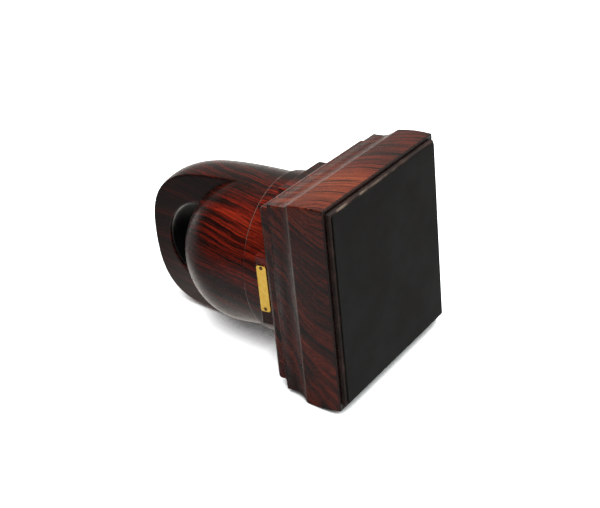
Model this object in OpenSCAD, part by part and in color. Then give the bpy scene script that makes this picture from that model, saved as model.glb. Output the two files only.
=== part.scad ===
// Dip pen holder: a turned rosewood body with a carved hood and a black-lined well,
// standing on a round foot with four flats and a square moulded plinth.
// Millimetres. Z is up, the name plate faces -Y, the origin is centred under the base pad.

/* [Plinth] */
// Width of the square plinth at its top and bottom edges
plinth_w = 100; // [96:0.5:112]
// How far each plinth side bulges past its edges
side_bulge = 0.45; // [0.1:0.05:1.2]
// Height of the plinth's lower edge above the table
plinth_z = 2.8; // [2:0.1:3.4]
// Height where the plain side ends and the shoulder begins
shoulder_z = 21.6; // [18:0.1:23]
// Width of the square above the shoulder
shoulder_w = 94.4; // [92:0.1:95]
// Height of the top of the plinth block
block_top_z = 33.5; // [31:0.1:34.5]
// Width of the cap board's lower lip
cap_lip_w = 91; // [90:0.1:91.8]
// Width of the cap board above its lip
cap_w = 88.4; // [87:0.1:89.4]
// Height of the top of the cap board
cap_top_z = 40.9; // [40:0.1:42]

/* [Base] */
// Width of the black pad under the base
pad_w = 93.5; // [88:0.5:94.5]
// Thickness of the pad
pad_t = 0.8; // [0.5:0.1:1.2]
// Width of the inset bottom board
board_w = 95.6; // [95:0.1:96.4]
// Thickness of the inset bottom board
board_t = 4; // [3.6:0.1:5]

/* [Foot] */
// Radius of the round foot under the body
foot_r = 40; // [39.4:0.1:41]
// Height of the top of the foot
foot_top_z = 58; // [56:0.5:60]
// Distance from the axis to each flat
flat_d = 41.6; // [41.3:0.1:43]
// Width of each flat
flat_w = 35.6; // [30:0.1:38]
// Height of the top of the flats
flat_top_z = 48.2; // [47.8:0.1:50]

/* [Body] */
// Radius of the body where it meets the foot
neck_r = 38.1; // [37:0.1:38.6]
// Largest radius of the hood
hood_r = 39.5; // [38.8:0.1:40]
// Height where the hood starts to round over
hood_round_z = 89; // [86:0.5:94]
// Height of the top of the hood
hood_top_z = 135.5; // [130:0.5:140]
// Squareness of the hood's crown, where 2 is a plain ellipse
crown_power = 2.9; // [2:0.1:3.2]
// Distance from the axis forward to the flat rim face
rim_d = 10.5; // [6:0.5:14]
// Largest radius of the front lip
lip_r = 37.9; // [36:0.1:38.4]
// Half height of the front lip's curve
lip_rise = 36.2; // [34:0.1:38]
// Height of the widest part of the front lip
lip_z = 74.8; // [72:0.1:78]
// How far the front lip's centre sits forward of the axis
lip_forward = 2.5; // [1:0.1:3.5]

/* [Well] */
// Radius of the well bored in the body
well_r = 24.5; // [20:0.1:26]
// Height where the well's domed end begins
well_dome_z = 102.9; // [98:0.1:106]
// Height of the underside of the well liner
liner_z = 64; // [62:0.5:70]
// Thickness of the liner
liner_t = 1.2; // [1:0.1:2.5]
// How far the liner's edge sits behind the rim face and below the front lip
liner_setback = 1.2; // [1:0.1:3]

/* [Name plate] */
// Length of the name plate
plate_l = 24; // [18:0.5:30]
// Height of the name plate
plate_h = 5.4; // [4:0.1:6]
// Thickness of the name plate
plate_t = 0.6; // [0.4:0.1:1]
// Corner radius of the name plate
plate_corner_r = 1.2; // [0.3:0.1:1.5]
// How far the plate sits to the right of its flat's middle
plate_x = 1.2; // [0:0.1:2]
// Distance between the two plate pins
pin_spacing = 21.2; // [15:0.1:26]
// Radius of a plate pin's shank
pin_r = 0.5; // [0.3:0.05:0.7]

/* [Fastenings] */
// Radius of the centre screw's shank
screw_r = 3; // [2:0.1:4]
// Radius of the centre screw's head
screw_head_r = 6; // [5:0.1:8]
// Radius of the washer under the head
washer_r = 9.5; // [8:0.1:10.5]
// Radius of a locating dowel
dowel_r = 3; // [2:0.1:4]
// Distance from the axis to each locating dowel
dowel_d = 32; // [30:0.5:34]
// Distance from the axis to each bottom board screw, along X and along Y
board_screw_d = 38; // [30:0.5:41]

/* [Hidden] */
$fn = 96;

eps = 0.01;
cut_over = 1;

half_w = plinth_w / 2;
shoulder_half = shoulder_w / 2;
board_top_z = pad_t + board_t;

// A cove or bulge between two outline points is this many straight steps
curve_steps = 8;
side_top_round = 0.6;
cove_start = 0.5;
cove_top_z = 28;
cove_depth = 0.45;

cap_lip_h = 2.3;
cap_lip_bow = 0.25;
cap_ledge = 0.5;
cap_round = 2.2;
// A quarter circle bows from its chord by this share of its radius
quarter_bow = 0.29;

washer_t = 1.5;
counterbore_top_z = 14;
counterbore_r = washer_r + 0.5;
screw_head_h = 4;
screw_tip_h = 6;
screw_tip_r = 0.4;
screw_head_chamfer = 1;
screw_end_z = 56;
screw_clear_r = screw_r + 0.3;
screw_slot_w = 1.4;
screw_slot_h = 1.8;

tenon_seat = 2;
tenon_z = cap_top_z - tenon_seat;

dowel_z = 26;
dowel_end_z = 50;
dowel_chamfer = 0.6;

board_screw_r = 1.5;
board_screw_head_r = 3.2;
board_screw_head_h = 2;
board_screw_end_z = 14;
board_screw_slot_w = 0.8;
board_screw_slot_h = 0.7;

foot_edge = 0.9;

// Steps of the crown's and the front lip's outlines
crown_step = 6;
lip_steps = 24;

plate_z = (cap_top_z + flat_top_z) / 2 + 0.25;
pin_head_r = 0.95;
pin_dome_r = 0.6;
pin_head_h = 0.35;
pin_depth = 3;

wood = [0.36, 0.12, 0.08];
dark_wood = [0.27, 0.1, 0.07];
raw_wood = [0.55, 0.33, 0.25];
pale_wood = [0.78, 0.62, 0.42];
black = [0.08, 0.08, 0.08];
brass = [0.85, 0.65, 0.25];
steel = [0.6, 0.6, 0.62];

// Points from a to b, bowed sideways by d at the middle (positive d bows to the right
// of the way from a to b)
function bowed(a, b, d) = [
    for (i = [0 : curve_steps])
        let (t = i / curve_steps, along = b - a, side = [along[1], -along[0]] / norm(along))
            a + along * t + side * d * sin(180 * t)
];

// The same outline with its points in the other order and X turned round
function mirrored(points) = [
    for (i = [len(points) - 1 : -1 : 0]) [-points[i][0], points[i][1]]
];

// A square prism whose four sides follow one moulding outline, with mitred corners
module moulded_square(side) {
    outline = concat(side, mirrored(side));
    reach = plinth_w;
    intersection() {
        rotate([90, 0, 0])
            linear_extrude(height = reach * 2, center = true) polygon(outline);
        rotate([90, 0, 90])
            linear_extrude(height = reach * 2, center = true) polygon(outline);
    }
}

module square_box(w, z0, z1) {
    translate([-w / 2, -w / 2, z0]) cube([w, w, z1 - z0]);
}

module at_corners(d) {
    for (x = [-d, d], y = [-d, d]) translate([x, y, 0]) children();
}

module at_dowels() {
    for (x = [-dowel_d, dowel_d]) translate([x, 0, 0]) children();
}

module up_cylinder(r, z0, z1) {
    translate([0, 0, z0]) cylinder(r = r, h = z1 - z0);
}

module base_pad() {
    color(black) square_box(pad_w, 0, pad_t);
}

module board_screw(grow) {
    up_cylinder(board_screw_r + grow, pad_t, board_screw_end_z);
    translate([0, 0, pad_t])
        cylinder(r1 = board_screw_head_r + grow, r2 = board_screw_r + grow, h = board_screw_head_h);
}

module base_board() {
    color(raw_wood) difference() {
        square_box(board_w, pad_t, board_top_z);
        at_corners(board_screw_d) board_screw(0);
    }
}

module board_screws() {
    slot_l = board_screw_head_r * 3;
    color(steel) at_corners(board_screw_d) difference() {
        board_screw(0);
        translate([-slot_l / 2, -board_screw_slot_w / 2, pad_t - eps])
            cube([slot_l, board_screw_slot_w, board_screw_slot_h + eps]);
    }
}

module plinth_block() {
    side = concat(
        bowed([half_w, plinth_z], [half_w, shoulder_z - side_top_round], side_bulge),
        [[half_w - side_top_round / 2, shoulder_z]],
        bowed([half_w - cove_start, shoulder_z + cove_start / 2], [shoulder_half, cove_top_z], -cove_depth),
        [[shoulder_half, block_top_z]]
    );
    color(wood) difference() {
        moulded_square(side);
        square_box(board_w, plinth_z - cut_over, board_top_z);
        at_corners(board_screw_d) up_cylinder(board_screw_r, board_top_z - cut_over, board_screw_end_z);
        up_cylinder(counterbore_r, board_top_z - cut_over, counterbore_top_z);
        up_cylinder(screw_clear_r, counterbore_top_z - cut_over, block_top_z + cut_over);
        at_dowels() up_cylinder(dowel_r, dowel_z, block_top_z + cut_over);
    }
}

module plinth_cap() {
    half = cap_w / 2;
    ledge_z = block_top_z + cap_lip_h;
    side = concat(
        bowed([cap_lip_w / 2, block_top_z], [half + cap_ledge, ledge_z], cap_lip_bow),
        [[half, ledge_z + cap_ledge]],
        bowed([half, cap_top_z - cap_round], [half - cap_round, cap_top_z], cap_round * quarter_bow)
    );
    color(wood) difference() {
        moulded_square(side);
        up_cylinder(screw_clear_r, block_top_z - cut_over, cap_top_z);
        up_cylinder(well_r, tenon_z, cap_top_z + cut_over);
        at_dowels() up_cylinder(dowel_r, block_top_z - cut_over, cap_top_z + cut_over);
    }
}

module locating_dowels() {
    color(pale_wood) at_dowels() {
        up_cylinder(dowel_r, dowel_z + dowel_chamfer, dowel_end_z - dowel_chamfer);
        translate([0, 0, dowel_z])
            cylinder(r1 = dowel_r - dowel_chamfer, r2 = dowel_r, h = dowel_chamfer);
        translate([0, 0, dowel_end_z - dowel_chamfer])
            cylinder(r1 = dowel_r, r2 = dowel_r - dowel_chamfer, h = dowel_chamfer);
    }
}

module screw_washer() {
    color(steel) difference() {
        up_cylinder(washer_r, counterbore_top_z - washer_t, counterbore_top_z);
        up_cylinder(screw_r, 0, counterbore_top_z + cut_over);
    }
}

module centre_screw() {
    head_top = counterbore_top_z - washer_t;
    head_z = head_top - screw_head_h;
    slot_l = screw_head_r * 3;
    color(steel) difference() {
        union() {
            up_cylinder(screw_head_r, head_z + screw_head_chamfer, head_top);
            translate([0, 0, head_z])
                cylinder(r1 = screw_head_r - screw_head_chamfer, r2 = screw_head_r, h = screw_head_chamfer);
            up_cylinder(screw_r, head_top - eps, screw_end_z - screw_tip_h);
            translate([0, 0, screw_end_z - screw_tip_h])
                cylinder(r1 = screw_r, r2 = screw_tip_r, h = screw_tip_h);
        }
        translate([-slot_l / 2, -screw_slot_w / 2, head_z - eps])
            cube([slot_l, screw_slot_w, screw_slot_h + eps]);
    }
}

module foot_collar() {
    color(wood) difference() {
        union() {
            up_cylinder(foot_r, cap_top_z, foot_top_z - foot_edge);
            translate([0, 0, foot_top_z - foot_edge])
                cylinder(r1 = foot_r, r2 = foot_r - foot_edge, h = foot_edge);
            for (turn = [0, 90])
                rotate([0, 0, turn]) translate([-flat_d, -flat_w / 2, cap_top_z])
                    cube([flat_d * 2, flat_w, flat_top_z - cap_top_z]);
        }
        up_cylinder(well_r, cap_top_z - cut_over, foot_top_z + cut_over);
        at_dowels() up_cylinder(dowel_r, cap_top_z - cut_over, dowel_end_z);
        at_plate_pins() cylinder(r = pin_r, h = pin_depth);
    }
}

module tenon_plug() {
    color(pale_wood) difference() {
        up_cylinder(well_r, tenon_z, liner_z);
        up_cylinder(screw_r, tenon_z - cut_over, screw_end_z - screw_tip_h);
        translate([0, 0, screw_end_z - screw_tip_h - eps])
            cylinder(r1 = screw_r, r2 = screw_tip_r, h = screw_tip_h + eps);
    }
}

// Outline of the turned body, from the foot up to the crown
function body_side() = concat(
    [
        for (i = [0 : curve_steps])
            let (t = i / curve_steps)
                [neck_r + (hood_r - neck_r) * sin(90 * t),
                 foot_top_z + (hood_round_z - foot_top_z) * t]
    ],
    [
        for (a = [crown_step : crown_step : 90 - crown_step])
            [hood_r * pow(cos(a), 2 / crown_power),
             hood_round_z + (hood_top_z - hood_round_z) * pow(sin(a), 2 / crown_power)]
    ],
    [[0, hood_top_z], [0, foot_top_z]]
);

module turned_body() {
    rotate_extrude() polygon(body_side());
}

// The rounded lip in front of the well, an egg turned about its own centre line
module front_lip() {
    low = asin((foot_top_z - lip_z) / lip_rise);
    side = [
        for (i = [0 : lip_steps])
            let (a = low + (90 - low) * i / lip_steps) [lip_r * cos(a), lip_z + lip_rise * sin(a)]
    ];
    translate([0, -lip_forward, 0])
        rotate_extrude() polygon(concat([[0, foot_top_z]], side));
}

// The space in front of the rim face and above the widest part of the lip
module mouth_space() {
    reach = hood_r + cut_over;
    translate([-reach, -reach, lip_z])
        cube([reach * 2, reach - rim_d, hood_top_z]);
}

// A round bore with a domed end
module bore(r, z0) {
    up_cylinder(r, z0, well_dome_z);
    translate([0, 0, well_dome_z]) sphere(r = r);
}

module hooded_body() {
    color(dark_wood) difference() {
        union() {
            difference() {
                turned_body();
                mouth_space();
            }
            front_lip();
        }
        bore(well_r, foot_top_z - cut_over);
    }
}

module well_liner() {
    lip_edge_z = lip_z + lip_rise * sqrt(1 - pow((well_r - lip_forward) / lip_r, 2));
    reach = well_r + cut_over;
    color(black) difference() {
        bore(well_r, liner_z);
        bore(well_r - liner_t, liner_z + liner_t);
        translate([-reach, -reach, lip_edge_z - liner_setback])
            cube([reach * 2, reach - rim_d + liner_setback, hood_top_z]);
    }
}

module at_plate_pins() {
    for (x = [-pin_spacing / 2, pin_spacing / 2])
        translate([plate_x + x, -flat_d, plate_z]) rotate([-90, 0, 0]) children();
}

module plate_outline() {
    dx = plate_l / 2 - plate_corner_r;
    dy = plate_h / 2 - plate_corner_r;
    square([plate_l, dy * 2], center = true);
    square([dx * 2, plate_h], center = true);
    for (x = [-dx, dx], y = [-dy, dy]) translate([x, y]) circle(r = plate_corner_r, $fn = 32);
}

module name_plate() {
    color(brass) difference() {
        translate([plate_x, -flat_d, plate_z]) rotate([90, 0, 0])
            linear_extrude(height = plate_t) plate_outline();
        at_plate_pins() translate([0, 0, -cut_over]) cylinder(r = pin_r, h = cut_over * 2);
    }
}

module plate_pins() {
    color(brass) at_plate_pins() {
        translate([0, 0, -plate_t]) cylinder(r = pin_r, h = plate_t + pin_depth);
        translate([0, 0, -plate_t - pin_head_h])
            cylinder(r1 = pin_dome_r, r2 = pin_head_r, h = pin_head_h);
    }
}

base_pad();
base_board();
board_screws();
plinth_block();
plinth_cap();
locating_dowels();
screw_washer();
centre_screw();
foot_collar();
tenon_plug();
hooded_body();
well_liner();
name_plate();
plate_pins();
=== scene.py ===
"""Looks of the dip pen holder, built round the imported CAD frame.

The frame is in metres, with +Z up the turning axis and the name plate facing -Y. The holder is seen as it
lies on its -X side, so the stage's floor stands against that side. Shapes are worked out in millimetres.
"""

import math

import bmesh
import bpy
import numpy as np
from mathutils import Euler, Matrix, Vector, noise


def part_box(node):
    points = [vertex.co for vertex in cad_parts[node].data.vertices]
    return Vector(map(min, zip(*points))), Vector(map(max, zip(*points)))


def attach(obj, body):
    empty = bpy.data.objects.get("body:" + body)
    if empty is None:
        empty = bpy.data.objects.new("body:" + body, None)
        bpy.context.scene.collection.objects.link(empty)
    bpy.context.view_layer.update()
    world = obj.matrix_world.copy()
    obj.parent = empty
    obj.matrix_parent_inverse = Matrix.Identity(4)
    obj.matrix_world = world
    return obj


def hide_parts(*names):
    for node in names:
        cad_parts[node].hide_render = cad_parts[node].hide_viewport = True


MM = 0.001
BODY = "root"

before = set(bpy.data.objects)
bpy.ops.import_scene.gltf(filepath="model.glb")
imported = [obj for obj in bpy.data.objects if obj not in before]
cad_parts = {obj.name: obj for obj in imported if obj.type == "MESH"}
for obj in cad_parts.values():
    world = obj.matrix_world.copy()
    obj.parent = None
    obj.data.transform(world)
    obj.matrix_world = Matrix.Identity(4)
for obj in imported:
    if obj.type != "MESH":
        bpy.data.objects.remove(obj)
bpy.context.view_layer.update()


def node_box(name):
    """A CAD node's lowest and highest corner, in millimetres."""
    low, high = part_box(name)
    return np.array(low) / MM, np.array(high) / MM


# ---------------------------------------------------------------- driving sizes, from the frame

pad_low, pad_high = node_box("base_pad")
board_low, board_high = node_box("base_board")
block_low, block_high = node_box("plinth_block")
cap_low, cap_high = node_box("plinth_cap")
foot_low, foot_high = node_box("foot_collar")
body_low, body_high = node_box("hooded_body")
liner_low, liner_high = node_box("well_liner")
plate_low, plate_high = node_box("name_plate")
pins_low, pins_high = node_box("plate_pins")

# Plinth block: the side bulges, and a cove leads to the narrower shoulder
SIDE_BULGE = 0.45
plinth_half = float(block_high[0] - SIDE_BULGE)
SHOULDER_HALF = 47.2
SHOULDER_Z = 21.6
SHOULDER_TOP_Z = 28.0
COVE_DEPTH = 0.45
PLINTH_CORNER_R = 0.7

# Plinth cap, above the lip at its lower edge
CAP_HALF = 44.2
CAP_LIP_HALF = 45.5
CAP_LIP_H = 2.3
CAP_ROUND = 2.2

# Name plate and its pins
PLATE_CORNER_R = 1.2
PIN_SHANK_R = 0.5
PIN_HEAD_R = 0.95

# Round foot and its four flats
FOOT_R = 40.0
FOOT_EDGE = 0.9
flat_d = foot_high[0]
FLAT_HALF = 17.8
FLAT_TOP_Z = 48.2
foot_top_z = float(foot_high[2])

# Turned body, cut back to the rim face, and the round lip in front of the well
NECK_R = 38.1
hood_r = body_high[0]
HOOD_ROUND_Z = 89.0
CROWN_POWER = 2.9
RIM_Y = -10.5
LIP_R = 37.9
LIP_RISE = 36.2
LIP_Z = 74.8
LIP_Y = -2.5
LIP_GROWTH = 14.0

# Well: a round bore with a domed end, and the shell that lines it
well_r = float(liner_high[0])
well_dome_z = liner_high[2] - well_r
LINER_T = 1.2
LINER_SETBACK = 1.2
lip_edge_z = LIP_Z + LIP_RISE * math.sqrt(1 - ((well_r + LIP_Y) / LIP_R) ** 2)


# ---------------------------------------------------------------- shapes as distance fields


def round_max(a, b, r):
    """Intersection of two fields with an edge rounded to radius r."""
    return np.minimum(-r, np.maximum(a, b)) + np.hypot(np.maximum(r + a, 0), np.maximum(r + b, 0))


def round_min(a, b, r):
    """Union of two fields with an inside corner rounded to radius r."""
    return -round_max(-a, -b, r)


def blend_step(t):
    """0 below 0, 1 above 1, smooth between."""
    t = np.clip(t, 0, 1)
    return t * t * (3 - 2 * t)


def squircle(u, v, wide, tall, power):
    """Distance, near the surface, to the curve |u/wide|^power + |v/tall|^power = 1."""
    tiny = 1e-6
    a = np.abs(u) / wide + tiny
    b = np.abs(v) / tall + tiny
    size = (a**power + b**power) ** (1 / power)
    slope = size ** (1 - power) * np.hypot(a ** (power - 1) / wide, b ** (power - 1) / tall)
    return (size - 1) / slope


def side_radius(z):
    """Radius of the turned body below the hood's rounding."""
    t = np.clip((z - body_low[2]) / (HOOD_ROUND_Z - body_low[2]), 0, 1)
    return NECK_R + (hood_r - NECK_R) * np.sin(t * math.pi / 2)


def turned_field(p):
    """The whole turned body, before anything is cut from it."""
    rho, z = np.hypot(p[:, 0], p[:, 1]), p[:, 2]
    crown_rise = body_high[2] - HOOD_ROUND_Z
    crown = squircle(rho, np.maximum(z - HOOD_ROUND_Z, 0), hood_r, crown_rise, CROWN_POWER)
    return np.where(z > HOOD_ROUND_Z, crown, rho - side_radius(z))


def lip_field(p):
    """An egg that grows smoothly out of the turned body and moves forward of its axis as it rises."""
    z = p[:, 2]
    free = blend_step((z - LIP_Z) / LIP_GROWTH)
    radius = side_radius(z) * (1 - free) + LIP_R * free
    off_axis = np.hypot(p[:, 0], p[:, 1] - LIP_Y * free)
    return squircle(off_axis, np.maximum(z - LIP_Z, 0), radius, LIP_RISE, 2)


def bore_field(p, r, floor_z=None):
    """The well's space: a round bore with a domed end, and a floor if its height is given."""
    rho, z = np.hypot(p[:, 0], p[:, 1]), p[:, 2]
    side = np.hypot(rho, np.maximum(z - well_dome_z, 0)) - r
    floor_round = r / 6
    return side if floor_z is None else round_max(side, floor_z - z, floor_round)


def hooded_body_field(p):
    """The turned body with its front cut back to the rim face, joined to the lip, then bored."""
    rim_round, lip_round, sharp, crease, crease_rise = 0.7, 1.0, 0.001, 0.4, 12
    mouth = np.minimum(RIM_Y - p[:, 1], p[:, 2] - LIP_Z)
    hood = round_max(turned_field(p), mouth, rim_round)
    fillet = sharp + crease * blend_step((p[:, 2] - LIP_Z) / crease_rise)
    outside = round_min(hood, lip_field(p), fillet)
    bored = round_max(outside, -bore_field(p, well_r), lip_round)
    return np.maximum(bored, body_low[2] - p[:, 2])


def liner_field(p):
    """The shell in the well, cut back a little from the wood's edge."""
    edge_round = 0.3
    inside = bore_field(p, well_r - LINER_T, liner_low[2] + LINER_T)
    shell = round_max(bore_field(p, well_r), -inside, edge_round)
    shell = np.maximum(shell, liner_low[2] - p[:, 2])
    mouth = np.minimum(RIM_Y + LINER_SETBACK - p[:, 1], p[:, 2] - lip_edge_z + LINER_SETBACK)
    return round_max(shell, mouth, edge_round)


def foot_field(p):
    """The round foot with its four flats."""
    x, y, z = np.abs(p[:, 0]), np.abs(p[:, 1]), p[:, 2]
    flat_edge, corner_fillet, seam_edge = 0.45, 0.25, 0.3
    rho = np.hypot(x, y)
    foot = round_max(rho - FOOT_R, z - foot_high[2], FOOT_EDGE)
    for along, across in ((x, y), (y, x)):
        flat = round_max(along - flat_d, across - FLAT_HALF, flat_edge)
        foot = round_min(foot, round_max(flat, z - FLAT_TOP_Z, flat_edge), corner_fillet)
    foot = round_max(foot, foot_low[2] - z, seam_edge)
    return np.maximum(foot, well_r - rho)


# ---------------------------------------------------------------- meshes of the fields


def slopes(field, points, reach=0.01):
    """The field's gradient at each point."""
    out = np.empty_like(points)
    for axis in range(3):
        step = np.zeros(3)
        step[axis] = reach
        out[:, axis] = (field(points + step) - field(points - step)) / (2 * reach)
    return out


def pull_to_surface(field, points, rounds=3):
    """The points moved along the gradient until the field is zero there."""
    least_steep = 0.25
    for _ in range(rounds):
        slope = slopes(field, points)
        steep = np.maximum((slope**2).sum(axis=1), least_steep)
        points = points - slope * (field(points) / steep)[:, None]
    return points


def even_out(points, quads):
    """Each point moved halfway to the mean of its neighbours."""
    ends = np.concatenate([quads[:, [k, (k + 1) % 4]] for k in range(4)])
    ends = np.concatenate([ends, ends[:, ::-1]])
    count = np.bincount(ends[:, 0], minlength=len(points))
    mean = [np.bincount(ends[:, 0], points[ends[:, 1], k], len(points)) / count for k in range(3)]
    return (points + np.stack(mean, axis=1)) / 2


def grid_values(field, low, high, step):
    """A grid of points that are one step apart, and the field at each."""
    counts = np.ceil((high - low) / step).astype(int) + 1
    axes = [low[k] + step * np.arange(counts[k]) for k in range(3)]
    grid = np.stack(np.meshgrid(*axes, indexing="ij"), axis=-1)
    return grid, field(grid.reshape(-1, 3)).reshape(counts)


def crossed_edges(grid, value, axis, step):
    """For the grid's edges along one axis: is each crossed, where, and does it start inside the solid."""
    here, there = [slice(None)] * 3, [slice(None)] * 3
    here[axis], there[axis] = slice(0, -1), slice(1, None)
    a, b = value[tuple(here)], value[tuple(there)]
    crossed = (a < 0) != (b < 0)
    spot = grid[tuple(here)].copy()
    spot[..., axis] += step * np.where(crossed, a / np.where(crossed, a - b, 1), 0)
    return crossed, spot, a < 0


def cell_points(edges, cells):
    """The mean of the crossings round each crossed cell, and the number of each cell's point."""
    total, hits = np.zeros(cells + (3,)), np.zeros(cells)
    for axis, (crossed, spot, _) in enumerate(edges):
        u, v = [k for k in range(3) if k != axis]
        for du, dv in ((0, 0), (0, 1), (1, 0), (1, 1)):
            window = [slice(None)] * 3
            window[u], window[v] = slice(du, du + cells[u]), slice(dv, dv + cells[v])
            hit = crossed[tuple(window)]
            total += np.where(hit[..., None], spot[tuple(window)], 0)
            hits += hit
    used = hits > 0
    number = np.cumsum(used.ravel()).reshape(cells) - 1
    return total[used] / hits[used][:, None], number


def cell_quads(edges, number):
    """One quad round each crossed edge, through its four cells, turned to face out of the solid."""
    quads = []
    for axis, (crossed, _, inside) in enumerate(edges):
        u, v = (axis + 1) % 3, (axis + 2) % 3
        edge = np.argwhere(crossed)
        inner = (edge > 0) & (edge < number.shape)
        edge = edge[inner[:, u] & inner[:, v]]
        ring = []
        for du, dv in ((1, 1), (0, 1), (0, 0), (1, 0)):
            cell = edge.copy()
            cell[:, u] -= du
            cell[:, v] -= dv
            ring.append(number[tuple(cell.T)])
        ring = np.stack(ring, axis=1)
        outward = inside[tuple(edge.T)]
        quads.append(np.where(outward[:, None], ring, ring[:, ::-1]))
    return np.concatenate(quads)


def net_surface(field, low, high, step):
    """Points and quads of the surface where the field is zero, one point in each cell that it crosses."""
    grid, value = grid_values(field, low, high, step)
    edges = [crossed_edges(grid, value, axis, step) for axis in range(3)]
    points, number = cell_points(edges, tuple(count - 1 for count in value.shape))
    return points, cell_quads(edges, number)


def add_object(name, mesh):
    piece = bpy.data.objects.new(name, mesh)
    bpy.context.scene.collection.objects.link(piece)
    return piece


def field_piece(name, field, low, high, step):
    """A smooth closed mesh of the field's surface, with normals from the field itself."""
    margin, even_rounds, normal_reach = 2 * step, 4, 0.15
    points, quads = net_surface(field, low - margin, high + margin, step)
    points = pull_to_surface(field, points)
    for _ in range(even_rounds):
        points = pull_to_surface(field, even_out(points, quads), rounds=1)
    points = pull_to_surface(field, points)
    points = np.clip(points, low, high)
    mesh = bpy.data.meshes.new(name)
    mesh.from_pydata((points * MM).tolist(), [], quads.tolist())
    mesh.shade_smooth()
    normals = slopes(field, points, reach=normal_reach)
    normals /= np.linalg.norm(normals, axis=1, keepdims=True)
    mesh.normals_split_custom_set_from_vertices(normals.tolist())
    mesh.update()
    return add_object(name, mesh)


# ---------------------------------------------------------------- meshes of rings


def bowed(a, b, depth, steps=10):
    """Points from a to b, bowed by depth to the right of the way from a to b."""
    a, b = np.array(a, float), np.array(b, float)
    side = np.array([b[1] - a[1], a[0] - b[0]]) / np.linalg.norm(b - a)
    shares = np.linspace(0, 1, steps + 1)
    return [tuple(a + (b - a) * t + side * depth * math.sin(math.pi * t)) for t in shares]


def rounded(points, radius, steps=4):
    """The outline with each inner corner cut by an arc-like curve that starts radius away from it."""
    out = [points[0]]
    for before, corner, after in zip(points, points[1:], points[2:]):
        before, corner, after = (np.array(q, float) for q in (before, corner, after))
        start = corner + (before - corner) * min(0.5, radius / np.linalg.norm(before - corner))
        end = corner + (after - corner) * min(0.5, radius / np.linalg.norm(after - corner))
        for t in np.linspace(0, 1, steps + 1):
            out.append(tuple(start * (1 - t) ** 2 + corner * 2 * t * (1 - t) + end * t**2))
    return out + [points[-1]]


def square_ring(half, corner_r, side_steps, corner_steps=5):
    """Points round a square with rounded corners, anticlockwise from the +X side's start."""
    ring = []
    flat = half - corner_r
    for k in range(4):
        turn = k * math.pi / 2
        c, s = math.cos(turn), math.sin(turn)
        side = [(half, flat * (2 * i / side_steps - 1)) for i in range(side_steps + 1)]
        arc = [
            (flat + corner_r * math.cos(a), flat + corner_r * math.sin(a))
            for a in (math.pi / 2 * i / corner_steps for i in range(1, corner_steps))
        ]
        ring += [(x * c - y * s, x * s + y * c) for x, y in side + arc]
    return ring


def join_rings(bm, rings):
    """A band of quads from each ring of vertices to the next."""
    for low, high in zip(rings, rings[1:]):
        for i in range(len(low)):
            j = (i + 1) % len(low)
            bm.faces.new((low[i], low[j], high[j], high[i]))


def finish_mesh(bm, name):
    bmesh.ops.recalc_face_normals(bm, faces=bm.faces)
    mesh = bpy.data.meshes.new(name)
    bm.to_mesh(mesh)
    bm.free()
    mesh.shade_smooth()
    return mesh


def add_crisp_object(name, mesh):
    """An object whose flat faces stay flat beside its small rounded edges."""
    large_faces_first = 60
    piece = add_object(name, mesh)
    piece.modifiers.new("weighted_normals", "WEIGHTED_NORMAL").weight = large_faces_first
    return piece


def square_loft(name, outline, corner_r, side_steps=24, shift=None):
    """A closed solid whose sides follow the outline (half width, height) round a square."""
    bm = bmesh.new()
    rings = []
    for half, z in outline:
        spots = [Vector((x, y, z)) for x, y in square_ring(half, min(corner_r, half / 2), side_steps)]
        rings.append([bm.verts.new((spot + shift(spot) if shift else spot) * MM) for spot in spots])
    join_rings(bm, rings)
    bm.faces.new(list(reversed(rings[0])))
    bm.faces.new(rings[-1])
    return add_crisp_object(name, finish_mesh(bm, name))


def make_plinth_block():
    edge, top_inset = 0.5, 3
    low_z, top_z = block_low[2], block_high[2]
    recess_half, recess_z = board_high[0], board_high[2]
    side = bowed((plinth_half, low_z), (plinth_half, SHOULDER_Z - edge), SIDE_BULGE)
    cove = bowed((plinth_half - edge, SHOULDER_Z + edge / 2), (SHOULDER_HALF, SHOULDER_TOP_Z), -COVE_DEPTH)
    corners = [(recess_half, low_z)] + side + cove + [(SHOULDER_HALF, top_z)]
    outline = [(recess_half, recess_z)] + rounded(corners, edge) + [(SHOULDER_HALF - top_inset, top_z)]
    return square_loft("plinth_block_wood", outline, PLINTH_CORNER_R)


def make_plinth_cap():
    edge, lip_bow, lip_steps, quarter_round = 0.35, 0.25, 4, 0.29
    low_inset, top_inset = 3, 6
    low_z, top_z = cap_low[2], cap_high[2]
    lip = bowed((CAP_LIP_HALF, low_z), (CAP_HALF + edge, low_z + CAP_LIP_H), lip_bow, lip_steps)
    crown = bowed((CAP_HALF, top_z - CAP_ROUND), (CAP_HALF - CAP_ROUND, top_z), CAP_ROUND * quarter_round)
    corners = [(CAP_LIP_HALF - low_inset, low_z)] + lip + [(CAP_HALF, low_z + CAP_LIP_H + edge)] + crown
    outline = rounded(corners + [(CAP_HALF - top_inset, top_z)], edge)
    return square_loft("plinth_cap_wood", outline, PLINTH_CORNER_R)


def inward(spot):
    """The direction from a spot toward the turning axis."""
    return -Vector((spot.x, spot.y, 0)).normalized()


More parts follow.
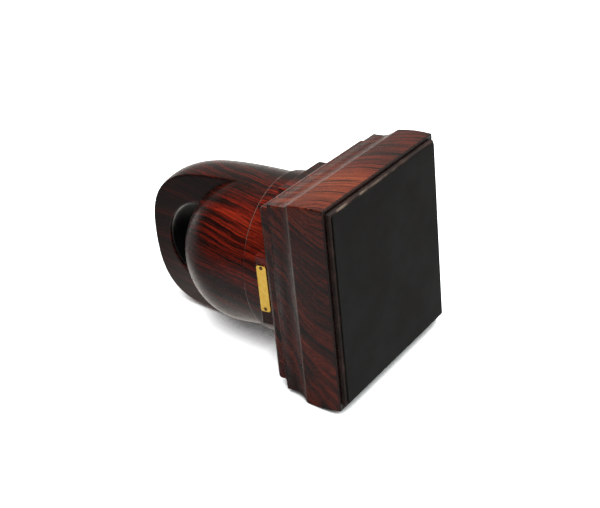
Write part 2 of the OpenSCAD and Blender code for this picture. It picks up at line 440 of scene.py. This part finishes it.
def make_base_board():
    """The inset board, its edge left rough from the saw and worn at the bottom."""
    low_z, top_z, half = board_low[2], board_high[2], board_high[0]
    cut_depth, wear_depth, wear_h, edge, corner_r = 0.22, 0.28, 0.6, 0.3, 0.9
    levels, rim_w, face_inset = 9, 2, 4
    stroke_along, stroke_up, splinter, worn_patch = 0.35, 2.4, 1.7, 0.45

    def roughness(spot):
        if max(abs(spot.x), abs(spot.y)) <= half - rim_w:
            return Vector()
        stroke = Vector((spot.x * stroke_along, spot.y * stroke_along, spot.z * stroke_up))
        saw = noise.noise(stroke) * 0.5 + noise.noise(spot * splinter) * 0.5
        worn = max(0.0, 1 - (spot.z - low_z) / wear_h) * (0.5 + noise.noise(spot * worn_patch))
        depth = cut_depth * (0.5 + saw) + wear_depth * max(0.0, worn)
        return inward(spot) * max(0.0, depth)

    sides = [(half, z) for z in np.linspace(low_z + edge, top_z, levels)]
    outline = [(half - face_inset, low_z), (half - edge, low_z)] + sides + [(half - face_inset, top_z)]
    return square_loft("base_board_wood", outline, corner_r, side_steps=120, shift=roughness)


def make_base_pad():
    """The black pad, softly uneven as leather is, with its cut edge turned over."""
    low_z, top_z, half = pad_low[2], pad_high[2], pad_high[0]
    edge, corner_r, edge_w, skin, face_rings = 0.28, 0.8, 1, 0.1, 16
    dip_depth, dip_patch, trim_depth, trim_patch = 0.05, 0.06, 0.12, 0.3

    def unevenness(spot):
        lift = dip_depth * (0.5 + 0.5 * noise.noise(spot * dip_patch)) if spot.z < low_z + skin else 0
        trim = trim_depth * (0.5 + 0.5 * noise.noise(spot * trim_patch))
        at_edge = max(abs(spot.x), abs(spot.y)) > half - edge_w
        return Vector((0, 0, lift)) + inward(spot) * (trim if at_edge else 0)

    inner = [(half * k / face_rings, low_z) for k in range(1, face_rings)]
    corners = [(half - edge_w, low_z), (half, low_z), (half, top_z), (half - edge_w, top_z)]
    outline = inner + rounded(corners, edge)
    return square_loft("base_pad_leather", outline, corner_r, side_steps=60, shift=unevenness)


def plate_ring(inset, y, corner_steps=6):
    """Points round the name plate's rounded outline, drawn in by the inset."""
    middle = (plate_low + plate_high) / 2
    half_l, half_h = (plate_high - plate_low)[0] / 2, (plate_high - plate_low)[2] / 2
    r = PLATE_CORNER_R - inset
    spots = []
    for k, (sx, sz) in enumerate(((1, 1), (-1, 1), (-1, -1), (1, -1))):
        cx, cz = sx * (half_l - PLATE_CORNER_R), sz * (half_h - PLATE_CORNER_R)
        for i in range(corner_steps + 1):
            a = math.pi / 2 * (k + i / corner_steps)
            spots.append((middle[0] + cx + r * math.cos(a), y, middle[2] + cz + r * math.sin(a)))
    return spots


def make_name_plate():
    """A blank brass plate with rounded corners and a softened front edge."""
    edge, halfway, face_inset = 0.16, 0.3, 0.5
    front, back = plate_low[1], plate_high[1]
    softened = [(0, front + edge), (edge * halfway, front + edge * halfway), (edge, front)]
    levels = [(0, back)] + softened + [(face_inset, front)]
    bm = bmesh.new()
    rings = [[bm.verts.new(Vector(q) * MM) for q in plate_ring(inset, y)] for inset, y in levels]
    join_rings(bm, rings)
    bm.faces.new(rings[0])
    bm.faces.new(rings[-1])
    return add_crisp_object("name_plate_brass", finish_mesh(bm, "name_plate_brass"))


def add_pin(bm, x, z, segments=24, dome_steps=6):
    """A pin pressed through the plate from the front, with a low domed head."""
    seat_y, head_h = plate_low[1], plate_low[1] - pins_low[1]
    outline = [(PIN_SHANK_R, pins_high[1]), (PIN_SHANK_R, seat_y), (PIN_HEAD_R, seat_y)]
    for i in range(1, dome_steps):
        a = math.pi / 2 * i / dome_steps
        outline.append((PIN_HEAD_R * math.cos(a), seat_y - head_h * math.sin(a)))
    turns = [2 * math.pi * k / segments for k in range(segments)]
    loops = []
    for r, y in outline:
        spots = [Vector((x + r * math.cos(a), y, z + r * math.sin(a))) for a in turns]
        loops.append([bm.verts.new(spot * MM) for spot in spots])
    join_rings(bm, loops)
    bm.faces.new(loops[0])
    tip = bm.verts.new(Vector((x, pins_low[1], z)) * MM)
    for k in range(segments):
        bm.faces.new((loops[-1][k], loops[-1][(k + 1) % segments], tip))


def make_plate_pins():
    sharp_above = math.radians(50)
    middle_x = (pins_low[0] + pins_high[0]) / 2
    offset = (pins_high[0] - pins_low[0]) / 2 - PIN_HEAD_R
    middle_z = (plate_low[2] + plate_high[2]) / 2
    bm = bmesh.new()
    for side in (-1, 1):
        add_pin(bm, middle_x + side * offset, middle_z)
    mesh = finish_mesh(bm, "plate_pins_brass")
    mesh.set_sharp_from_angle(angle=sharp_above)
    return add_object("plate_pins_brass", mesh)


# ---------------------------------------------------------------- shader nodes


class Graph:
    """A node tree of a material or the world, built a node at a time."""

    def __init__(self, owner):
        owner.use_nodes = True
        self.owner = owner
        self.tree = owner.node_tree
        self.tree.nodes.clear()

    def fill(self, socket, value):
        """Links a socket into the input, or sets a plain value there."""
        if isinstance(value, bpy.types.NodeSocket):
            self.tree.links.new(value, socket)
        else:
            socket.default_value = value

    def node(self, kind, inputs=None, **settings):
        made = self.tree.nodes.new("ShaderNode" + kind)
        for key, value in settings.items():
            setattr(made, key, value)
        for key, value in (inputs or {}).items():
            self.fill(made.inputs[key], value)
        return made

    def math(self, operation, a, b=0.0):
        return self.node("Math", {0: a, 1: b}, operation=operation).outputs[0]

    def product(self, first, *others):
        for other in others:
            first = self.math("MULTIPLY", first, other)
        return first

    def weighted_sum(self, *terms):
        """The sum of each value times its weight."""
        first, *others = [self.math("MULTIPLY", value, weight) for value, weight in terms]
        for other in others:
            first = self.math("ADD", first, other)
        return first

    def vector(self, operation, a, b=(0.0, 0.0, 0.0)):
        made = self.node("VectorMath", {0: a, 1: b}, operation=operation)
        return made.outputs["Value"] if operation in ("LENGTH", "DISTANCE") else made.outputs[0]

    def place(self):
        """Position in the object's own frame, in millimetres."""
        spot = self.node("TexCoord").outputs["Object"]
        return self.vector("MULTIPLY", spot, (1 / MM, 1 / MM, 1 / MM))

    def axes(self, at):
        """A place's X, Y and Z."""
        return self.node("SeparateXYZ", {"Vector": at}).outputs[:]

    def noise(self, at, scale, detail=3.0, rough=0.5, stretch=(1.0, 1.0, 1.0)):
        spot = self.vector("MULTIPLY", at, stretch)
        made = self.node("TexNoise", {"Vector": spot, "Scale": scale, "Detail": detail, "Roughness": rough})
        return made.outputs["Fac"]

    def span(self, value, low, high, to_low=0.0, to_high=1.0):
        """The value's stretch from low to high, turned smoothly into to_low to to_high."""
        inputs = {"Value": value, "From Min": low, "From Max": high, "To Min": to_low, "To Max": to_high}
        return self.node("MapRange", inputs, interpolation_type="SMOOTHSTEP").outputs[0]

    def close_to(self, value, target, reach, full):
        """1 within full of the target, and 0 beyond reach of it."""
        return self.span(self.math("ABSOLUTE", self.math("SUBTRACT", value, target)), reach, full)

    def mix(self, factor, a, b):
        made = self.node("Mix", data_type="RGBA", blend_type="MIX")
        for socket, value in zip((made.inputs[0], made.inputs[6], made.inputs[7]), (factor, a, b)):
            self.fill(socket, value)
        return made.outputs[2]

    def stain(self, colour, where, strength, tint):
        """The colour, drawn toward a tint in some places."""
        return self.mix(self.math("MULTIPLY", where, strength), colour, (*tint, 1))

    def ramp(self, factor, stops):
        made = self.node("ValToRGB", {"Fac": factor})
        ramp = made.color_ramp
        while len(ramp.elements) < len(stops):
            ramp.elements.new(0.5)
        for element, (spot, colour) in zip(ramp.elements, stops):
            element.position = spot
            element.color = (*colour, 1)
        return made.outputs["Color"]

    def bump(self, height, depth_mm, strength=1.0):
        made = self.node("Bump", {"Height": height, "Distance": depth_mm * MM, "Strength": strength})
        return made.outputs["Normal"]

    def finish(self, **inputs):
        """Adds the surface shader, with a constant or a link for each socket."""
        shader = self.node("BsdfPrincipled", {k.replace("_", " "): v for k, v in inputs.items()})
        return self.finish_with(shader)

    def finish_with(self, shader):
        self.node("OutputMaterial", {"Surface": shader.outputs[0]})
        return self.owner


def new_material(name):
    return Graph(bpy.data.materials.new(name))


# ---------------------------------------------------------------- rosewood

# Colours from the darkest streak to the brightest
RED_WOOD = (
    (0.007, 0.0035, 0.003),
    (0.026, 0.006, 0.004),
    (0.088, 0.010, 0.0055),
    (0.190, 0.0135, 0.0065),
    (0.400, 0.031, 0.011),
)
BROWN_WOOD = (
    (0.008, 0.004, 0.0035),
    (0.042, 0.009, 0.006),
    (0.130, 0.019, 0.010),
    (0.250, 0.042, 0.017),
    (0.420, 0.100, 0.034),
)
TONE_STOPS = (0.36, 0.44, 0.51, 0.58, 0.68)

# Colours of what lies over the grain, and of the highlights and shade painted on some edges
BLACK_STREAK = (0.006, 0.003, 0.003)
DARK_THREAD = (0.010, 0.005, 0.004)
PORE = (0.008, 0.004, 0.003)
# Painted highlights on the foot's +X edge and the plinth's shoulder, and painted shade on the block's bottom
# edge
PAINTED_FOOT_HIGHLIGHT = (0.36, 0.24, 0.19)
PAINTED_SHOULDER_HIGHLIGHT = (0.24, 0.18, 0.155)
PAINTED_BOTTOM_SHADE = (0.010, 0.006, 0.005)
DARK_FACE = (0.011, 0.006, 0.0055)

# The foot's rounded upper edge, where a highlight is painted: where it begins and ends off the axis, and its
# middle height
FOOT_EDGE_RHO = (FOOT_R - 0.8, FOOT_R - 0.2)
FOOT_EDGE_Z = foot_top_z - FOOT_EDGE / 2


def bent_grain(g, place, lean, wander_mm):
    """The place in the grain's own frame: leaned over, then pushed aside by a slow and a quicker wave."""
    slow, quick, ripple_mm = 0.012, 0.05, 2.6
    grain = straight = g.node("Mapping", {"Vector": place, "Rotation": lean}).outputs[0]
    for scale, push in ((slow, wander_mm), (quick, ripple_mm)):
        wave = g.node("TexNoise", {"Vector": straight, "Scale": scale, "Detail": 2.0}).outputs["Color"]
        wave = g.vector("SUBTRACT", wave, (0.5, 0.5, 0.5))
        grain = g.vector("ADD", grain, g.vector("MULTIPLY", wave, (push, push, 0.0)))
    return grain


def year_rings(g, place, grain, pith, knot):
    """A place in the wood's layers: how far out from the pith, with slow change along and round it."""
    along, around = 0.02, 0.05
    from_pith = g.vector("MULTIPLY", g.vector("SUBTRACT", grain, pith), (1.0, 1.0, 0.0))
    ring = g.vector("LENGTH", from_pith)
    if knot:
        knot_at, knot_reach, knot_push = knot
        near = g.span(g.vector("DISTANCE", place, knot_at), knot_reach, 0.0)
        ring = g.math("ADD", ring, g.product(near, knot_push))
    x, _, z = g.axes(grain)
    return g.node("CombineXYZ", {"X": ring, "Y": g.product(z, along), "Z": g.product(x, around)}).outputs[0]


def wood_tone(g, place, grain, rings, heart, contrast):
    """How bright the wood is, before it is coloured: about 0.5, higher in the heart."""
    heart_at, heart_reach, heart_pull = heart
    taller_than_wide, core, even_wood, middle = (1.0, 1.0, 0.6), heart_reach * 0.25, 0.28, 0.5
    squeezed = g.vector("MULTIPLY", place, taller_than_wide)
    in_heart = g.span(g.vector("DISTANCE", squeezed, heart_at), heart_reach, core)
    zones = g.noise(rings, scale=0.16, detail=2.0, rough=0.5)
    bands = g.noise(rings, scale=0.55, detail=3.0, rough=0.6)
    lines = g.noise(rings, scale=1.5, detail=3.0, rough=0.7)
    fibre = g.noise(grain, scale=1.0, detail=2.0, rough=0.6, stretch=(2.2, 2.2, 0.06))
    pull = g.math("SUBTRACT", in_heart, even_wood)
    tone = g.weighted_sum((zones, 0.22), (bands, 0.24), (lines, 0.34), (fibre, 0.20), (pull, heart_pull))
    return g.math("ADD", g.product(g.math("SUBTRACT", tone, middle), contrast), middle)


def painted_highlights_and_shade(g, place, colour):
    """The colour with a painted highlight along the foot's upper edge on the +X side, a painted highlight
    along the plinth's shoulder, and painted shade along the plinth's bottom edge.
    """
    # The +X stretch where the foot's edge highlight is painted
    highlit_side_x = (14.0, 24.0)
    bottom_z = float(block_low[2])
    # The height band where shade is painted along the block's bottom edge
    painted_shade_z = (bottom_z + 0.9, bottom_z + 0.25)
    x, _, z = g.axes(place)
    off_axis = g.vector("LENGTH", g.vector("MULTIPLY", place, (1.0, 1.0, 0.0)))
    # Painted highlight along the foot's rounded upper edge, on the +X side only
    foot_highlight = g.product(g.close_to(z, FOOT_EDGE_Z, reach=0.5, full=0.15), g.span(off_axis, *FOOT_EDGE_RHO))
    foot_highlight = g.product(foot_highlight, g.span(x, *highlit_side_x))
    colour = g.stain(colour, foot_highlight, strength=0.85, tint=PAINTED_FOOT_HIGHLIGHT)
    # Painted highlight along the plinth's shoulder edge, all round
    shoulder_highlight = g.close_to(z, SHOULDER_Z - 0.1, reach=0.9, full=0.3)
    colour = g.stain(colour, shoulder_highlight, strength=0.7, tint=PAINTED_SHOULDER_HIGHLIGHT)
    # Painted shade along the plinth block's bottom edge
    return g.stain(colour, g.span(z, *painted_shade_z), strength=0.9, tint=PAINTED_BOTTOM_SHADE)


def streaks(g, rings, pores, colour):
    """The colour with broad black streaks, fine dark threads and pores over it."""
    black = g.span(g.noise(rings, scale=0.36, detail=4.0, rough=0.6), 0.425, 0.375)
    threads = g.span(g.noise(rings, scale=1.5, detail=2.0), 0.455, 0.38)
    colour = g.stain(colour, black, strength=0.9, tint=BLACK_STREAK)
    colour = g.stain(colour, threads, strength=0.75, tint=DARK_THREAD)
    return g.stain(colour, pores, strength=0.5, tint=PORE)


def rosewood(name, palette, contrast, lean, pith, wander_mm, heart, knot=None):
    """Polished dark rosewood whose grain runs roughly along Z.

    The palette runs from the darkest streak to the brightest, and contrast spreads the tones over it. lean
    turns the grain, pith is the tree's middle, and wander_mm is how far the grain strays. heart is the
    reddest column of wood, and knot a place that the rings bend round: each has a place, a reach and a
    strength.
    """
    dark_face_h, pore_depth = 4, 0.05
    g = new_material(name)
    place = g.place()
    grain = bent_grain(g, place, lean, wander_mm)
    rings = year_rings(g, place, grain, pith, knot)
    tone = wood_tone(g, place, grain, rings, heart, contrast)
    pores = g.span(g.noise(grain, scale=1.0, detail=1.0, rough=0.5, stretch=(1.9, 1.9, 0.07)), 0.62, 0.74)
    colour = streaks(g, rings, pores, g.ramp(tone, tuple(zip(TONE_STOPS, palette))))

    _, y, z = g.axes(place)
    rim_face = g.product(g.close_to(y, RIM_Y, reach=0.35, full=0.2), g.span(z, LIP_Z - dark_face_h, LIP_Z))
    colour = g.stain(painted_highlights_and_shade(g, place, colour), rim_face, strength=0.7, tint=DARK_FACE)
    height = g.math("SUBTRACT", g.noise(place, scale=0.09, detail=2.0), g.product(pores, pore_depth))
    smears = g.span(g.noise(place, scale=0.35, detail=3.0), 0.3, 0.7, to_low=0.25, to_high=0.34)
    rough = g.weighted_sum((smears, 1.0), (pores, 0.10), (rim_face, 0.12))
    normal = g.bump(height, depth_mm=0.10, strength=0.4)
    return g.finish(Base_Color=colour, Roughness=rough, IOR=1.35, Normal=normal)


def sawn_wood():
    """Unfinished rosewood edge with saw marks and pale worn spots."""
    g = new_material("sawn_rosewood")
    place = g.place()
    marks = g.noise(place, scale=1.0, detail=4.0, rough=0.6, stretch=(0.5, 0.5, 3.2))
    patches = g.noise(place, scale=0.12, detail=3.0, rough=0.6)
    stops = (
        (0.40, (0.006, 0.004, 0.003)),
        (0.50, (0.020, 0.009, 0.006)),
        (0.58, (0.048, 0.021, 0.014)),
        (0.70, (0.130, 0.070, 0.050)),
    )
    colour = g.ramp(g.weighted_sum((marks, 0.5), (patches, 0.5)), stops)
    x, y, z = g.axes(place)
    edge_z, half = float(board_low[2]), float(board_high[0])
    bottom_edge = g.span(z, edge_z + 0.55, edge_z + 0.1)
    patch = g.span(g.noise(place, scale=0.09, detail=3.0), 0.40, 0.6)
    right_side, front_end = g.span(x, half - 3, half - 0.5), g.span(y, half * 0.6, -half)
    worn = g.product(bottom_edge, patch, right_side, front_end)
    colour = g.stain(colour, worn, strength=1.0, tint=(0.34, 0.26, 0.19))
    rough = g.span(marks, 0.3, 0.7, to_low=0.6, to_high=0.85)
    normal = g.bump(marks, depth_mm=0.25, strength=0.8)
    return g.finish(Base_Color=colour, Roughness=rough, Normal=normal)


# ---------------------------------------------------------------- other materials


def black_leather():
    """Fine-grained black leather with a dull polish where it has been handled."""
    g = new_material("pad_leather")
    place = g.place()
    cells = g.node("TexVoronoi", {"Vector": place, "Scale": 1.5, "Randomness": 1.0}).outputs["Distance"]
    fine = g.noise(place, scale=2.4, detail=3.0)
    clouds = g.noise(place, scale=0.035, detail=4.0, rough=0.6)
    colour = g.ramp(clouds, ((0.3, (0.0065, 0.0065, 0.006)), (0.7, (0.011, 0.0105, 0.010))))
    height = g.weighted_sum((cells, -0.5), (fine, 0.4))
    rough = g.span(clouds, 0.3, 0.7, to_low=0.55, to_high=0.7)
    normal = g.bump(height, depth_mm=0.06, strength=0.5)
    return g.finish(Base_Color=colour, Roughness=rough, Specular_IOR_Level=0.12, Normal=normal)


def black_gloss():
    """Black liner with faint turning marks and dust, and a painted highlight on the wall under the hood on
    the +X side.
    """
    g = new_material("liner_black")
    place = g.place()
    dust = g.noise(place, scale=1.2, detail=4.0, rough=0.6)
    turning = g.noise(place, scale=1.0, detail=2.0, rough=0.5, stretch=(0.02, 0.02, 1.4))
    colour = g.ramp(dust, ((0.35, (0.006, 0.006, 0.006)), (0.8, (0.016, 0.0155, 0.015))))
    x, y, z = g.axes(place)
    # Painted highlight: a pale patch on the +X side of the wall near the mouth, fading deeper into the well
    # and higher up
    x_starts, x_ends = (0.0, well_r * 0.6), (well_r * 0.92, well_r * 0.74)
    y_ends, z_ends = (22.0, 2.0), (128.0, 116.0)
    paleness = g.product(g.span(x, *x_starts), g.span(x, *x_ends), g.span(y, *y_ends), g.span(z, *z_ends))
    colour = g.stain(colour, paleness, strength=1.0, tint=(0.70, 0.70, 0.66))
    rough = g.span(dust, 0.3, 0.75, to_low=0.42, to_high=0.55)
    normal = g.bump(turning, depth_mm=0.03, strength=0.3)
    return g.finish(Base_Color=colour, Roughness=rough, IOR=1.35, Normal=normal)


def brass():
    """Polished brass with long fine brushing and slight tarnish."""
    g = new_material("brass_plate")
    place = g.place()
    brushed = g.noise(place, scale=1.0, detail=3.0, rough=0.6, stretch=(0.25, 3.0, 9.0))
    tarnish = g.noise(place, scale=0.5, detail=4.0, rough=0.6)
    colour = g.ramp(tarnish, ((0.3, (0.86, 0.50, 0.08)), (0.65, (0.98, 0.66, 0.14))))
    rough = g.span(brushed, 0.3, 0.7, to_low=0.16, to_high=0.26)
    normal = g.bump(brushed, depth_mm=0.02, strength=0.4)
    return g.finish(Base_Color=colour, Metallic=1.0, Roughness=rough, Normal=normal)


def aged_brass():
    """Darker brass of the pins, dulled in patches."""
    g = new_material("brass_pins")
    place = g.place()
    stain = g.noise(place, scale=1.6, detail=4.0, rough=0.6)
    colour = g.ramp(stain, ((0.35, (0.07, 0.035, 0.015)), (0.7, (0.42, 0.24, 0.07))))
    rough = g.span(stain, 0.3, 0.7, to_low=0.3, to_high=0.5)
    normal = g.bump(stain, depth_mm=0.03, strength=0.5)
    return g.finish(Base_Color=colour, Metallic=0.9, Roughness=rough, Normal=normal)


def screw_steel():
    """Zinc-plated steel with turning marks."""
    g = new_material("screw_steel")
    place = g.place()
    turned = g.noise(place, scale=1.0, detail=2.0, rough=0.5, stretch=(0.4, 0.4, 6.0))
    paleness = g.noise(place, scale=0.4, detail=4.0)
    colour = g.ramp(paleness, ((0.3, (0.42, 0.42, 0.44)), (0.7, (0.62, 0.62, 0.63))))
    rough = g.span(turned, 0.3, 0.7, to_low=0.25, to_high=0.45)
    normal = g.bump(turned, depth_mm=0.03, strength=0.5)
    return g.finish(Base_Color=colour, Metallic=1.0, Roughness=rough, Normal=normal)


def pale_hardwood():
    """Plain beech of the dowels and the plug."""
    g = new_material("pale_hardwood")
    place = g.place()
    grain = g.noise(place, scale=1.0, detail=4.0, rough=0.6, stretch=(0.9, 0.9, 0.05))
    flecks = g.span(g.noise(place, scale=1.0, detail=1.0, rough=0.5, stretch=(2.5, 2.5, 0.4)), 0.62, 0.74)
    colour = g.ramp(grain, ((0.3, (0.42, 0.26, 0.13)), (0.7, (0.62, 0.43, 0.24))))
    colour = g.stain(colour, flecks, strength=0.4, tint=(0.28, 0.15, 0.07))
    rough = g.span(grain, 0.3, 0.7, to_low=0.5, to_high=0.65)
    normal = g.bump(grain, depth_mm=0.08, strength=0.5)
    return g.finish(Base_Color=colour, Roughness=rough, Normal=normal)


# ---------------------------------------------------------------- the object


def dress(piece, node, material):
    """The piece takes its material, rides on the body and stands for its CAD node."""
    piece.data.materials.clear()
    piece.data.materials.append(material)
    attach(piece, BODY)
    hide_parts(node)


def repaint(node, material):
    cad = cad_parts[node]
    cad.data.materials.clear()
    cad.data.materials.append(material)


def turned_rosewood():
    """The red, strongly streaked wood of the body and the foot."""
    return rosewood(
        "rosewood_turned",
        palette=RED_WOOD,
        contrast=1.35,
        lean=(0.12, -0.2, 0.0),
        pith=(122.0, 92.0, 0.0),
        wander_mm=14.0,
        heart=((26.0, -34.0, 25.0), 36.0, 0.13),
    )


def joined_rosewood():
    """The browner wood of the plinth, with a knot near the corner of its front and +X sides."""
    return rosewood(
        "rosewood_joined",
        palette=BROWN_WOOD,
        contrast=0.95,
        lean=(-0.2, -0.2, 0.0),
        pith=(-70.0, 150.0, 0.0),
        wander_mm=8.0,
        heart=((66.0, -22.0, 6.0), 46.0, 0.14),
        knot=((56.0, -46.0, 9.0), 19.0, 7.0),
    )


def build_object():
    turned, joined = turned_rosewood(), joined_rosewood()
    steel, pale = screw_steel(), pale_hardwood()
    body = field_piece("hooded_body_wood", hooded_body_field, body_low, body_high, 0.8)
    liner = field_piece("well_liner_shell", liner_field, liner_low, liner_high, 0.8)
    foot = field_piece("foot_collar_wood", foot_field, foot_low, foot_high, 0.7)
    dress(body, "hooded_body", turned)
    dress(liner, "well_liner", black_gloss())
    dress(foot, "foot_collar", turned)
    dress(make_plinth_block(), "plinth_block", joined)
    dress(make_plinth_cap(), "plinth_cap", joined)
    dress(make_base_board(), "base_board", sawn_wood())
    dress(make_base_pad(), "base_pad", black_leather())
    dress(make_name_plate(), "name_plate", brass())
    dress(make_plate_pins(), "plate_pins", aged_brass())
    for node in ("board_screws", "screw_washer", "centre_screw"):
        repaint(node, steel)
    for node in ("locating_dowels", "tenon_plug"):
        repaint(node, pale)


# ---------------------------------------------------------------- floor, lights, camera

WHITE = (1, 1, 1, 1)
WARM_WHITE = (1, 0.94, 0.87, 1)


def floor_for_object(g, white, y, z):
    """The floor as the object meets it: a bright pool beside the well, and less to mirror past the hood."""
    pool_at, pool_in, pool_out, pool_glow = (0.0, 10.0, 112.0), 30.0, 84.0, 1.1
    back_y, back_z, back_glow = (20.0, 110.0), (60.0, 130.0), 0.8
    mirrored_z, mirrored_low, mirrored_high = (115.0, 165.0), 0.66, 0.30
    from_pool = g.vector("DISTANCE", g.vector("MULTIPLY", g.place(), (0.0, 1.0, 1.0)), pool_at)
    back = g.product(g.span(y, *back_y, to_high=back_glow), g.span(z, *back_z))
    pool = g.math("MAXIMUM", g.span(from_pool, pool_out, pool_in, to_high=pool_glow), back)
    glow = g.node("Emission", {"Color": WARM_WHITE, "Strength": pool})
    reflected = g.span(z, *mirrored_z, to_low=mirrored_low, to_high=mirrored_high)
    seen = g.mix(g.node("LightPath").outputs["Is Glossy Ray"], white, reflected)
    dull = g.node("BsdfDiffuse", {"Color": seen})
    return g.node("AddShader", {0: dull.outputs[0], 1: glow.outputs[0]})


def floor_in_picture(g, white, y, z):
    """The floor as the picture shows it: overexposed, but for a soft shadow behind the base."""
    toward_light, shade_reach, overexposure = (0.80, -0.25, -0.55), 20 * MM, (2.3, 2.5, 2.5)
    beside_y, beside_z = (-plinth_half, -plinth_half - 3.0), (SHOULDER_TOP_Z + 8, SHOULDER_TOP_Z - 2)
    below_z = (0.5, -1.5)
    sky = g.node("AmbientOcclusion", {"Distance": shade_reach, "Normal": toward_light}, samples=8)
    open_sky = sky.outputs["AO"]
    beside_base = g.product(g.span(y, *beside_y), g.span(z, *beside_z))
    unshaded = g.math("MAXIMUM", g.span(z, *below_z), beside_base)
    wash = g.math("MAXIMUM", g.span(open_sky, 0.15, 0.6), unshaded)
    wash = g.node("Emission", {"Color": WHITE, "Strength": wash})
    bright = g.vector("MULTIPLY", white, overexposure)
    bright = g.vector("MULTIPLY", bright, g.span(open_sky, 0.15, 0.5, to_low=0.2))
    bright = g.node("BsdfDiffuse", {"Color": bright})
    return g.node("AddShader", {0: bright.outputs[0], 1: wash.outputs[0]})


def white_floor():
    """A white floor that is seen only from the side that the holder lies on."""
    g = new_material("studio_floor")
    place = g.place()
    _, y, z = g.axes(place)
    greys = ((0.3, (0.42, 0.42, 0.42)), (0.7, (0.44, 0.44, 0.44)))
    white = g.ramp(g.noise(place, scale=0.02, detail=2.0), greys)
    met, pictured = floor_for_object(g, white, y, z), floor_in_picture(g, white, y, z)
    in_picture = g.node("LightPath").outputs["Is Camera Ray"]
    lit = g.node("MixShader", {0: in_picture, 1: met.outputs[0], 2: pictured.outputs[0]})
    from_behind = g.node("NewGeometry").outputs["Backfacing"]
    clear = g.node("BsdfTransparent")
    return g.finish_with(g.node("MixShader", {0: from_behind, 1: lit.outputs[0], 2: clear.outputs[0]}))


def outermost(radii, heights, fall):
    """The radius and height of the point that a line of this fall meets first, from outside."""
    k = np.argmax(radii + fall * heights)
    return radii[k], heights[k]


def floor_frame():
    """A point on the floor, its upward normal and its two directions.

    The floor touches the -X side at two heights: at the plinth's bulged side and at the hood's crown.
    """
    clearance, rounds, side_samples, crown_samples, shoulder_round = 0.1, 6, 60, 200, 0.3
    side_z = np.linspace(block_low[2], SHOULDER_Z - shoulder_round, side_samples)
    share = (side_z - block_low[2]) / (SHOULDER_Z - block_low[2])
    side_r = plinth_half + SIDE_BULGE * np.sin(math.pi * share)
    crown_z = np.linspace(HOOD_ROUND_Z, body_high[2], crown_samples)
    share = (crown_z - HOOD_ROUND_Z) / (body_high[2] - HOOD_ROUND_Z)
    crown_r = hood_r * (1 - share**CROWN_POWER) ** (1 / CROWN_POWER)
    fall = 0.0
    for _ in range(rounds):
        low_r, low_z = outermost(side_r, side_z, fall)
        high_r, high_z = outermost(crown_r, crown_z, fall)
        fall = (low_r - high_r) / (high_z - low_z)
    along = Vector((fall, 0, 1)).normalized()
    across = Vector((0, 1, 0))
    normal = across.cross(along)
    touch = Vector((-low_r, 0, low_z)) - normal * clearance
    return touch * MM, normal, across, along


def make_floor():
    """A white sheet under the -X side; it ends short in front, where the room beyond is dark."""
    at, normal, across, along = floor_frame()
    front, back, below, above = -0.40, 2.6, -2.2, 2.6
    corners = ((front, below), (back, below), (back, above), (front, above))
    mesh = bpy.data.meshes.new("studio_floor")
    mesh.from_pydata([at + across * a + along * b for a, b in corners], [], [(0, 1, 2, 3)])
    mesh.update()
    if mesh.polygons[0].normal.dot(normal) < 0:
        mesh.flip_normals()
    floor = add_object("studio_floor", mesh)
    mesh.materials.append(white_floor())


def add_sun(name, toward, energy, width_degrees):
    """A soft distant light that comes from the direction toward."""
    data = bpy.data.lights.new(name, "SUN")
    data.energy = energy
    data.angle = math.radians(width_degrees)
    light = bpy.data.objects.new(name, data)
    bpy.context.scene.collection.objects.link(light)
    light.rotation_euler = (-toward).to_track_quat("-Z", "Y").to_euler()


def make_lights():
    """A wide soft light over the floor, and a weak one from the -Y side, low down."""
    _, up, across, along = floor_frame()
    add_sun("key", up + across * 0.15 - along * 0.3, energy=3.0, width_degrees=75)
    add_sun("front_fill", Vector((0.45, -0.80, -0.40)), energy=0.35, width_degrees=30)


def make_world():
    """Pure white in the picture; for light and reflections, a room dark in front and bright behind."""
    dark_from, bright_from, dark, bright = -0.3, 0.8, 0.03, 0.38
    g = Graph(bpy.data.worlds.new("studio"))
    bpy.context.scene.world = g.owner
    _, toward_y, _ = g.axes(g.node("TexCoord").outputs["Generated"])
    strength = g.span(toward_y, dark_from, bright_from, to_low=dark, to_high=bright)
    room = g.node("Background", {"Color": WARM_WHITE, "Strength": strength})
    white = g.node("Background", {"Color": WHITE})
    seen = g.node("LightPath").outputs["Is Camera Ray"]
    choose = g.node("MixShader", {0: seen, 1: room.outputs[0], 2: white.outputs[0]})
    g.node("OutputWorld", {"Surface": choose.outputs[0]})


def make_camera():
    """A long lens below and in front of the base, rolled so that the holder lies on its side."""
    data = bpy.data.cameras.new("camera")
    data.lens, data.sensor_width, data.clip_start = 71.2, 36, 0.01
    camera = bpy.data.objects.new("camera", data)
    bpy.context.scene.collection.objects.link(camera)
    camera.location = (0.24833, -0.42857, -0.25499)
    camera.rotation_euler = Euler([math.radians(a) for a in (-17.262, 123.463, -80.216)])
    bpy.context.scene.camera = camera


make_camera()
make_floor()
make_lights()
make_world()
build_object()
bpy.context.scene.view_settings.view_transform = "Standard"
